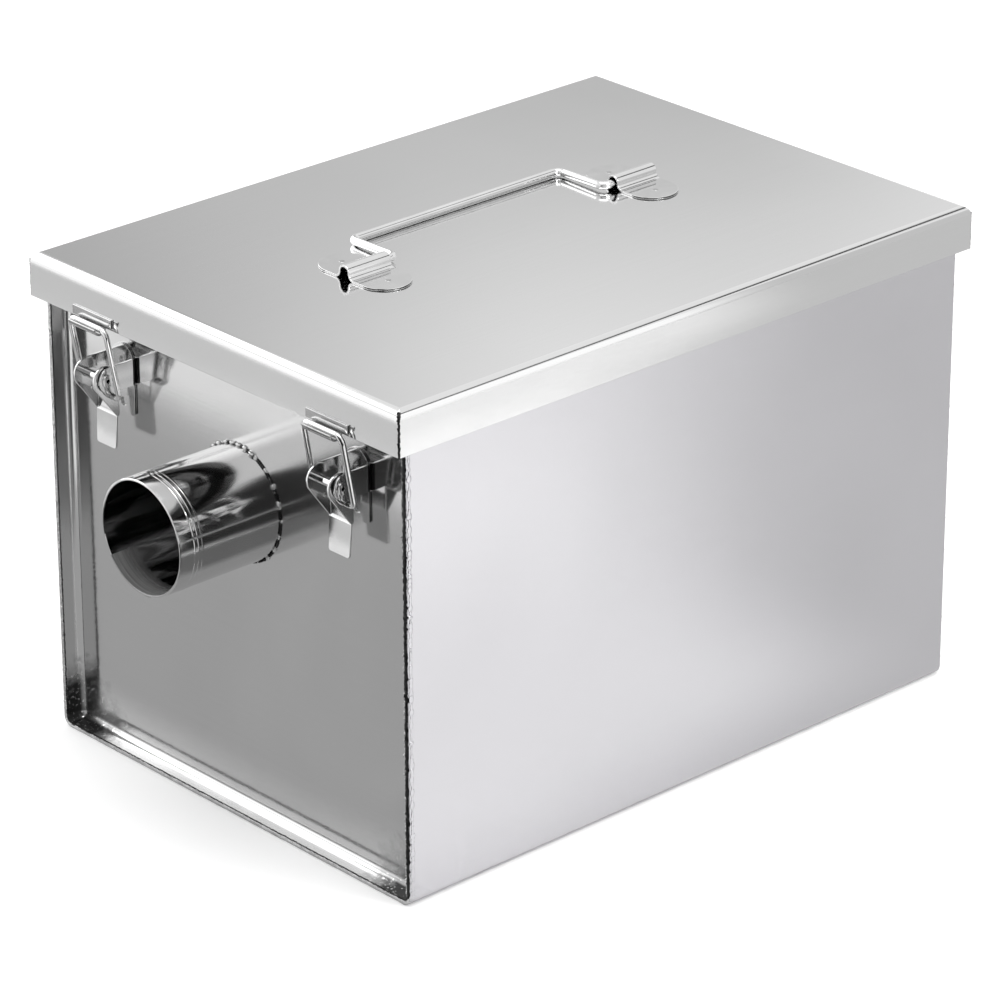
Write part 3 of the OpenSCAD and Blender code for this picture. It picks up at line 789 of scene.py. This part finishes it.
@dataclass
class DrainPipes:
    """The two pipes with their swaged beads and weld rings, and the downpipe inside."""

    wall: float = 1.2 * MM
    lip: float = 0.3 * MM
    bead_place: float = 10.5 * MM
    bead_half: float = 3.3 * MM
    bead_steps: int = 24
    bead_height: float = 0.06 * MM
    ridges: int = 3
    ridge_height: float = 0.05 * MM
    scuff_and_light_depth: float = 14.0 * MM
    scuff_and_light_rings: int = 8
    scuff_and_light_angle: float = -36.0
    fillet: float = 0.8 * MM
    steps: int = 144
    ring_steps: int = 96
    crown_span: tuple[float, float] = (72.0, 138.0)
    crown_steps: int = 24
    line: WeldBead = WeldBead(0.42 * MM, (0.6, 0.6, 1.0), (1.1, 1.1, 1.7), 0.45 * MM, 0.14 * MM, SCORCHED_WELD)
    blobs: WeldBead = WeldBead(1.0 * MM, (0.4, 0.4, 0.8), (1.05, 1.0, 2.6), 8.3 * MM, 0.3 * MM)
    crown: WeldBead = WeldBead(1.4 * MM, (0.5, 0.5, 1.0), (1.15, 1.1, 2.0), 4.4 * MM, 0.35 * MM)

    def build(self) -> None:
        """Turn the pipes and lay their weld rings."""
        for end, sign in ENDS:
            self.pipe(end, sign)
            self.ring(end, sign)
        for node in ("outlet_elbow", "outlet_downpipe"):
            round_edges(node, PIPE_TUBE, 0.15 * MM, 40.0)

    def pipe(self, end: str, sign: float) -> None:
        """Turn one pipe, from its mouth inwards.

        Args:
            end: Name of the end.
            sign: Side of the tank along Y.
        """
        low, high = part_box(f"{end}_pipe")
        outer = self.radius(end)
        inner = outer - self.wall
        length = high.y - low.y
        centre = (low + high) / 2
        centre.y = high.y if sign > 0 else low.y
        foot = abs(centre.y - panel_face(end, sign))
        lip, fillet = self.lip, self.fillet
        profile = [(lip, inner), (0.0, inner + lip), (0.0, outer - lip), (lip, outer)]
        for k in range(2 * self.bead_steps + 1):
            way = k / self.bead_steps - 1
            rise = self.bead_height * (0.5 + 0.5 * math.cos(math.pi * way))
            rise += self.ridge_height * max(0.0, math.cos(self.ridges * math.pi * way)) ** 4 * (abs(way) < 0.9)
            profile.append((self.bead_place + way * self.bead_half, outer + rise))
        profile += [(foot - fillet, outer), (foot - fillet / 3, outer + fillet / 3), (foot, outer + fillet),
                    (foot + lip, outer + fillet), (foot + lip, outer), (length - lip, outer),
                    (length, outer - lip), (length, inner)]
        profile += [(self.scuff_and_light_depth * (1 - k / self.scuff_and_light_rings), inner) for k in range(self.scuff_and_light_rings)]
        piece = lathe(f"{end}_pipe_turned", centre, Vector((0, -sign, 0)), profile, self.steps, 35.0)
        # Mark the lower bore near the mouth: scratches with painted light that fades inward.
        mark_faces(piece.data, lambda face: self.scuff_and_painted_light(face.center - centre, inner))
        settle(piece, TRAP_BODY, PIPE_TUBE)
        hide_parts(f"{end}_pipe")

    def scuff_and_painted_light(self, way: Vector, inner: float) -> float:
        """Strength of the scratches and the painted light in the lower part of a bore, which fade out with the
        depth as light from the mouth would.

        Args:
            way: Vector from the middle of the mouth.
            inner: Radius of the bore.

        Returns:
            A share from 0 to 1.
        """
        inside = math.hypot(way.x, way.z) < inner + 0.5 * self.lip
        low = math.degrees(math.atan2(way.z, abs(way.x))) < self.scuff_and_light_angle
        return max(0.0, 1.0 - abs(way.y) / self.scuff_and_light_depth) ** 0.6 * float(inside and low)

    def radius(self, end: str) -> float:
        """Outer radius of a pipe, read from the face at its mouth.

        Args:
            end: Name of the end.

        Returns:
            The radius.
        """
        points = [v.co for v in frame["nodes"][f"{end}_pipe"].data.vertices]
        far = max(abs(p.y) for p in points)
        return max(abs(p.x) for p in points if abs(p.y) > far - 0.01 * MM)

    def ring(self, end: str, sign: float) -> None:
        """Lay the weld ring where a pipe meets its end panel: a thin line with a few blobs.

        Args:
            end: Name of the end.
            sign: Side of the tank along Y.
        """
        low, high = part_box(f"{end}_pipe")
        centre = (low + high) / 2
        centre.y = panel_face(end, sign) + sign * self.line.drop / 2
        radius = self.radius(end) + self.fillet * 0.8
        points = arc(centre, radius, 0, 360, self.ring_steps)[:-1]
        self.line.lay(f"{end}_pipe_weld", points, seed=11 + int(sign), closed=True)
        self.blobs.lay(f"{end}_pipe_weld_blobs", points, seed=14 + int(sign), closed=True)
        top = arc(centre, radius, *self.crown_span, self.crown_steps)
        self.crown.lay(f"{end}_pipe_weld_crown", top, seed=17 + int(sign))


@dataclass
class TrayLid:
    """The tray lid with the seams of its corners, and the seal below it."""

    edge: float = 0.3 * MM
    corner_gap: float = 0.3 * MM
    notch_sink: float = 0.4 * MM
    bend: float = 3.5 * MM
    sag: float = 0.13 * MM
    sag_height: float = 4.2 * MM
    sag_steps: int = 6
    fine: WeldBead = WeldBead(0.36 * MM, (0.7, 0.7, 0.9), (1.1, 1.1, 1.5), 0.4 * MM, 0.05 * MM, SCORCHED_WELD)
    bead: WeldBead = WeldBead(0.62 * MM, (0.7, 0.7, 0.8), (1.25, 1.25, 1.4), 0.55 * MM, 0.14 * MM,
                              SCORCHED_WELD)
    notch: WeldBead = WeldBead(0.95 * MM, (0.7, 0.7, 0.7), (1.1, 1.1, 1.1), 0.7 * MM, 0.15 * MM, SCORCHED_WELD)

    def build(self) -> None:
        """Dress the lid and the seal, and lay the corner seams."""
        round_edges("lid", LID_SHEET, self.edge, shape=self.lean_ends)
        paint("lid_gasket", SEAL_RUBBER)
        low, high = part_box("lid")
        for i, (x, y) in enumerate(((low.x, low.y), (high.x, low.y), (low.x, high.y), (high.x, high.y))):
            inward = Vector((-math.copysign(1.0, x), -math.copysign(1.0, y), 0))
            ridge = []
            for angle in range(40, 100, 10):
                lean = math.radians(angle)
                level = high.z - self.bend * (1 - math.cos(lean))
                ridge.append(Vector((x, y, level)) + inward * self.bend * (1 - math.sin(lean)))
            burnt = x > 0 > y
            bead = self.bead if burnt else self.fine
            seam = ridge[2:] if burnt else ridge[-1:]
            path = [p + inward * self.corner_gap for p in seam + [Vector((x, y, low.z + bead.drop))]]
            bead.lay(f"lid_corner_seam_{i + 1}", path, seed=21 + i)
            if burnt:
                sink = inward * self.notch_sink + Vector((0, 0, -self.notch_sink))
                self.notch.lay("lid_corner_notch", [p + sink for p in ridge], seed=51)

    def lean_ends(self, shell: bmesh.types.BMesh) -> None:
        """Lean the upper part of the two end skirts inwards, as the bend leaves them.

        Args:
            shell: Mesh of the lid.
        """
        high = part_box("lid")[1]
        start = high.z - self.bend
        for k in range(self.sag_steps + 1):
            level = start - self.sag_height * k / self.sag_steps
            bmesh.ops.bisect_plane(shell, geom=shell.verts[:] + shell.edges[:] + shell.faces[:],
                                   dist=MERGE_DISTANCE, plane_co=(0, 0, level), plane_no=(0, 0, 1))
        for vert in shell.verts:
            share = min(1.0, max(0.0, 1.0 - (start - vert.co.z) / self.sag_height))
            if high.y - abs(vert.co.y) < 2 * self.bend:
                vert.co.y -= math.copysign(self.sag * share ** 2, vert.co.y)


@dataclass
class FoldHandle:
    """The folding handle, the two clips that hold it and the spot welds on their ears."""

    spot_radius: float = 1.3 * MM
    spot_rise: float = 0.10 * MM
    spot_out: float = 16.0 * MM
    spot_steps: int = 28
    sheet: float = 1.0 * MM

    def build(self) -> None:
        """Dress the rod and its clips, and set the spot welds."""
        round_edges("lid_handle", BRIGHT_WIRE, 0.3 * MM, 50.0)
        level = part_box("lid")[1].z + self.sheet
        for side in ("front", "rear"):
            clip = round_edges(f"handle_clip_{side}", PAINTED_SHADE_PRESSING, 0.25 * MM)
            # Painted shade: the lowest upright faces of each clip, where it sits on the lid, are marked
            # near-black.
            mark_faces(clip.data, lambda face: float(abs(face.normal.z) < 0.3 and face.center.z < level))
            low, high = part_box(f"handle_clip_{side}")
            middle = (low + high) / 2
            for k, sign in enumerate((-1.0, 1.0)):
                centre = Vector((middle.x + sign * self.spot_out, middle.y, level))
                self.spot(f"clip_{side}_spot_{k + 1}", centre)

    def spot(self, name: str, centre: Vector) -> None:
        """Set one spot weld: a shallow ring pressed into an ear.

        Args:
            name: Name of the piece.
            centre: Its middle on the ear.
        """
        shape = ((-1.0, 0.05), (-1.0, 1.15), (0.1, 1.1), (1.0, 0.85), (0.4, 0.6), (0.15, 0.3), (0.1, 0.05))
        profile = [(rise * self.spot_rise, out * self.spot_radius) for rise, out in shape]
        piece = lathe(name, centre, Vector((0, 0, 1)), profile, self.spot_steps, 60.0)
        settle(piece, TRAP_BODY, DULL_PRESSING)


@dataclass
class ToggleLatch:
    """One toggle latch: base, pin, lever and bail on the end panel, and the catch on the lid."""

    place: str
    sheet: float = 1.0 * MM

    def build(self) -> None:
        """Dress the latch's five pieces."""
        base = round_edges(f"base_{self.place}", PAINTED_SHADE_PRESSING, 0.12 * MM)
        # Painted shade: the base's narrow side edges are marked near-black, for the shaded gap to the end
        # panel.
        mark_faces(base.data, lambda face: self.side(base.data, face))
        round_edges(f"lever_{self.place}", BRIGHT_PRESSING, 0.22 * MM)
        round_edges(f"catch_{self.place}", DULL_PRESSING, 0.22 * MM)
        round_edges(f"pin_{self.place}", BRIGHT_WIRE, 0.15 * MM, 50.0)
        round_edges(f"bail_{self.place}", BRIGHT_WIRE, 0.2 * MM, 50.0)

    def side(self, mesh: Mesh, face: MeshPolygon) -> float:
        """Whether a face is one of the base's narrow side edges, which take the painted shade.

        Args:
            mesh: Mesh of the base.
            face: One of its faces.

        Returns:
            1 for a side edge, else 0.
        """
        rim = [mesh.vertices[v].co for v in face.vertices]
        half = sum((rim[i] - rim[i - 1]).length for i in range(len(rim))) / 2
        return float(abs(face.normal.x) > 0.5 and 0.25 * self.sheet < face.area / half < 1.15 * self.sheet)


@dataclass
class InnerFittings:
    """What hangs and stands inside the tank."""

    sheets: tuple[str, ...] = ("basket_trough", "basket_end_left", "basket_end_right", "basket_rail_left",
                               "basket_rail_right", "baffle_plate")

    def build(self) -> None:
        """Dress the basket, its rails and the baffle."""
        for node in self.sheets:
            paint(node, INNER_SHEET)
        paint("basket_handle", BRIGHT_WIRE)


def flat_sheet(name: str, width: float, height: float) -> Object:
    """Put a flat rectangle into the scene, with its middle at the origin.

    Args:
        name: Name of the object.
        width: Size along X.
        height: Size along Y.

    Returns:
        The object.
    """
    mesh = bpy.data.meshes.new(name)
    corners = [(x * width / 2, y * height / 2, 0.0) for x, y in ((-1, -1), (1, -1), (1, 1), (-1, 1))]
    mesh.from_pydata(corners, [], [(0, 1, 2, 3)])
    return new_object(name, mesh)


def bare_tree(block: Material | World) -> NodeTree:
    """Switch on the nodes of a material or a world and clear them.

    Args:
        block: The material or the world.

    Returns:
        Its empty tree.
    """
    block.use_nodes = True
    block.node_tree.nodes.clear()
    return block.node_tree


@dataclass(frozen=True)
class Card:
    """A soft-edged card that only shows in the reflections."""

    name: str
    centre: Triple
    width: float
    height: float
    shade: float
    soft: float = 0.5
    lies: bool = False
    turn: float = 0.0
    aim: Triple = (0.0, 0.0, 0.12)

    def build(self) -> None:
        """Set the card up facing its aim, or lay it on the floor."""
        way = Vector(self.aim) - Vector(self.centre)
        facing = way.to_track_quat("Z", "Y").to_matrix().to_4x4()
        if self.lies:
            facing = Matrix.Rotation(math.radians(self.turn), 4, "Z")
        card = flat_sheet(f"{self.name}_card", self.width, self.height)
        card.matrix_world = Matrix.Translation(self.centre) @ facing
        card.visible_camera = False
        card.visible_diffuse = False
        card.visible_shadow = False
        card.data.materials.append(self.material())

    def material(self) -> Material:
        """Build the card's shade, which fades out towards its edges.

        Returns:
            The material.
        """
        material = bpy.data.materials.new(f"{self.name}_card_shade")
        tree = bare_tree(material)
        axes = add_node(tree, "ShaderNodeSeparateXYZ", add_node(tree, "ShaderNodeTexCoord").outputs["Object"])
        shares = []
        for axis, half in zip(axes.outputs, (self.width / 2, self.height / 2)):
            out = work_out(tree, "ABSOLUTE", axis)
            start = half * (1 - self.soft)
            shares.append(ramp(tree, out, start, half, 1.0, 0.0, interpolation_type="SMOOTHSTEP"))
        clear = add_node(tree, "ShaderNodeBsdfTransparent")
        tone = add_node(tree, "ShaderNodeEmission", grey(self.shade), 1.0)
        blend = add_node(tree, "ShaderNodeMixShader", work_out(tree, "MULTIPLY", *shares), clear.outputs[0],
                         tone.outputs[0])
        add_node(tree, "ShaderNodeOutputMaterial", blend.outputs[0])
        return material


@dataclass
class Studio:
    """White studio: floor, soft lamps, reflection cards and the camera."""

    azimuth: float = 47.36
    elevation: float = 24.33
    roll: float = -0.12
    distance: float = 2.4694
    shift_right: float = -0.0031
    shift_up: float = 0.0966
    lens: float = 182.86
    sensor: float = 36.0
    view_depth: float = 50.0
    floor_size: float = 12.0
    floor_shade: float = 0.86
    floor_lift: float = 0.25
    wall_light: float = 0.55
    cards: tuple[Card, ...] = (
        Card("camera_side", (1.2, -1.1, 0.75), 2.6, 1.9, 0.30, 0.8),
        Card("pipe_front", (0.165, -0.26, 0.23), 0.19, 0.17, 0.03, 0.2, aim=(0.165, 0.0, 0.23)),
        Card("front_right_floor", (0.95, -0.95, 0.004), 1.8, 1.4, 0.04, 0.28, True),
        Card("front_floor", (-0.36, -0.31, 0.003), 1.27, 0.30, 0.44, 0.25, True),
        Card("front_skirt", (-0.40, -0.545, 0.003), 0.80, 0.14, 0.70, 0.4, True),
        Card("front_far", (-1.35, -1.62, 0.0025), 2.2, 2.0, 1.25, 0.08, True),
        Card("pipe_floor", (0.18, -0.28, 0.0055), 0.28, 0.18, 0.22, 0.4, True),
        Card("right_floor", (0.27, -0.04, 0.003), 0.32, 0.50, 1.08, 0.6, True),
        Card("right_skirt", (0.62, 0.10, 0.004), 0.26, 0.80, 1.10, 0.3, True),
        Card("left_wall", (0.15, -0.48, 0.005), 0.30, 0.40, 0.07, 0.5, True),
        Card("left_front_floor", (-5.6, -5.7, 0.002), 10.0, 10.0, 1.3, 0.2, True),
        Card("bend", (0.17, -0.08, 0.258), 0.36, 0.080, 1.3, 0.5, aim=(0.0, -0.08, 0.258)),
        Card("bend_far", (0.175, 0.20, 0.258), 0.60, 0.080, 0.70, 0.35, aim=(0.0, 0.20, 0.258)),
        Card("left_low", (-1.15, -1.35, 0.42), 1.6, 0.70, 1.5, 0.3),
        Card("horizon", (1.7, 1.5, 0.10), 3.2, 0.40, 0.03, 0.3),
        Card("upper_strip", (0.66, 1.36, 1.66), 2.4, 0.34, 0.05, 0.7),
        Card("lid_left", (-1.85, 1.0, 1.15), 1.3, 1.6, 0.50, 0.9),
        Card("lid_low", (-1.5, 1.4, 0.75), 1.1, 0.9, 0.62, 0.7),
        Card("far_floor", (0.158, 0.720, 0.002), 2.4, 1.24, 0.68, 0.34, True, 42.0),
        Card("left_high", (-1.5, -0.8, 1.45), 1.8, 1.1, 1.6, 0.35),
    )

    def build(self) -> None:
        """Set up everything round the object."""
        self.camera()
        self.world()
        self.floor()
        self.lamps()
        for card in self.cards:
            card.build()

    def camera(self) -> None:
        """Place the camera at the photograph's angle."""
        turn, rise, roll = (math.radians(v) for v in (self.azimuth, self.elevation, self.roll))
        back = Vector((math.sin(turn) * math.cos(rise), -math.cos(turn) * math.cos(rise), math.sin(rise)))
        level = Vector((math.cos(turn), math.sin(turn), 0.0))
        upright = back.cross(level)
        right = math.cos(roll) * level + math.sin(roll) * upright
        up = math.cos(roll) * upright - math.sin(roll) * level
        data = bpy.data.cameras.new("camera")
        data.lens = self.lens
        data.sensor_width = self.sensor
        data.clip_end = self.view_depth
        eye = new_object("camera", data)
        place = back * self.distance + right * self.shift_right + up * self.shift_up
        eye.matrix_world = Matrix.Translation(place) @ Matrix((right, up, back)).transposed().to_4x4()
        bpy.context.scene.camera = eye

    def world(self) -> None:
        """Make the surroundings white to the eye and to reflections, and a soft light."""
        world = bpy.data.worlds.new("studio")
        bpy.context.scene.world = world
        tree = bare_tree(world)
        rays = add_node(tree, "ShaderNodeLightPath").outputs
        seen = work_out(tree, "MAXIMUM", rays["Is Camera Ray"], rays["Is Glossy Ray"])
        shown = work_out(tree, "MAXIMUM", seen, rays["Is Transmission Ray"])
        soft = add_node(tree, "ShaderNodeBackground", grey(1.0), self.wall_light)
        white = add_node(tree, "ShaderNodeBackground", grey(1.0), 1.0)
        blend = add_node(tree, "ShaderNodeMixShader", shown, soft.outputs[0], white.outputs[0])
        add_node(tree, "ShaderNodeOutputWorld", blend.outputs[0])

    def floor(self) -> None:
        """Lay a plain pale floor that keeps the object's shadow."""
        floor = flat_sheet("floor", self.floor_size, self.floor_size)
        material = bpy.data.materials.new("floor_paper")
        tree = bare_tree(material)
        matt = add_node(tree, "ShaderNodeBsdfDiffuse", grey(self.floor_shade))
        rays = add_node(tree, "ShaderNodeLightPath").outputs
        lift = work_out(tree, "MULTIPLY", rays["Is Camera Ray"], self.floor_lift)
        glow = add_node(tree, "ShaderNodeEmission", Strength=lift)
        both = add_node(tree, "ShaderNodeAddShader", matt.outputs[0], glow.outputs[0])
        add_node(tree, "ShaderNodeOutputMaterial", both.outputs[0])
        floor.data.materials.append(material)

    def lamp(self, name: str, place: Triple, size: tuple[float, float], watts: float,
             aim: Triple = (0.0, 0.0, 0.12), mirrored: bool = True) -> None:
        """Hang one soft lamp.

        Args:
            name: Name of the lamp.
            place: Where it hangs.
            size: Width and height of its face.
            watts: Its power.
            aim: Point that it faces.
            mirrored: Whether the metal mirrors it.
        """
        data = bpy.data.lights.new(name, "AREA")
        data.shape = "RECTANGLE"
        data.size, data.size_y = size
        data.energy = watts
        lamp = new_object(name, data)
        facing = (Vector(place) - Vector(aim)).to_track_quat("Z", "Y").to_matrix().to_4x4()
        lamp.matrix_world = Matrix.Translation(place) @ facing
        lamp.visible_glossy = mirrored

    def lamps(self) -> None:
        """Hang the soft lamps."""
        self.lamp("top_lamp", (0.1, -0.1, 2.2), (1.6, 1.6), 24.0)
        self.lamp("left_lamp", (-1.6, -0.2, 0.95), (2.1, 1.3), 14.0)
        self.lamp("back_lamp", (-0.45, 1.5, 1.8), (1.4, 0.7), 4.5, mirrored=False)
        self.lamp("right_lamp", (0.62, 0.05, 0.60), (0.3, 0.3), 2.2, (0.50, 0.08, 0.0))


def main() -> None:
    """Build the studio and every sub-assembly in order."""
    logging.basicConfig(level=logging.INFO, format="%(name)s: %(message)s")
    bpy.context.scene.view_settings.view_transform = "Standard"
    Studio().build()
    TankShell().build()
    DrainPipes().build()
    TrayLid().build()
    FoldHandle().build()
    for place in LATCH_PLACES:
        ToggleLatch(place).build()
    InnerFittings().build()


if __name__ == "__main__":
    main()
